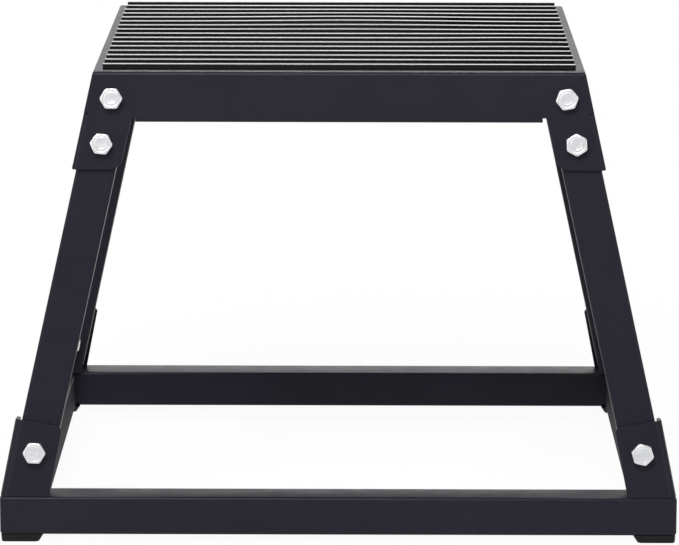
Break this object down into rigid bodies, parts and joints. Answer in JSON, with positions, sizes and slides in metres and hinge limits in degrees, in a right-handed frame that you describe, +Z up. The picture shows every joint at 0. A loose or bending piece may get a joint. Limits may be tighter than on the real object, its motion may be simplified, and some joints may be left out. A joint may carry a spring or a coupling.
{
  "type": "plyo box",
  "caption": "Low jump box with a folded sheet-steel deck, ribbed rubber mat, leaning square-tube legs bolted at top and bottom, and a tube base frame on rubber feet.",
  "frame": {"origin": "middle of the footprint, on the floor under the feet", "axes": "+X to the right seen from the front, +Y towards the rear, +Z up"},
  "size_m": [0.437, 0.3933, 0.305],
  "materials": {
    "powder_coat": "satin black powder coat",
    "mat_rubber": "ribbed black rubber",
    "foot_rubber": "matte black rubber",
    "zinc": "bright zinc plate"
  },
  "bodies": {
    "root": {"deck_pan": "powder_coat", "tread_mat": "mat_rubber", "leg_front_left": "powder_coat", "leg_front_right": "powder_coat", "leg_rear_left": "powder_coat", "leg_rear_right": "powder_coat", "base_front_rail": "powder_coat", "base_rear_rail": "powder_coat", "base_left_rail": "powder_coat", "base_right_rail": "powder_coat", "base_bracket_front_left": "powder_coat", "base_bracket_front_right": "powder_coat", "base_bracket_rear_left": "powder_coat", "base_bracket_rear_right": "powder_coat", "foot_front_left": "foot_rubber", "foot_front_right": "foot_rubber", "foot_rear_left": "foot_rubber", "foot_rear_right": "foot_rubber", "deck_upper_bolts": "zinc", "deck_lower_bolts": "zinc", "base_bolts": "zinc", "deck_upper_nuts": "zinc", "deck_lower_nuts": "zinc", "base_nuts": "zinc"}
  },
  "joints": []
}
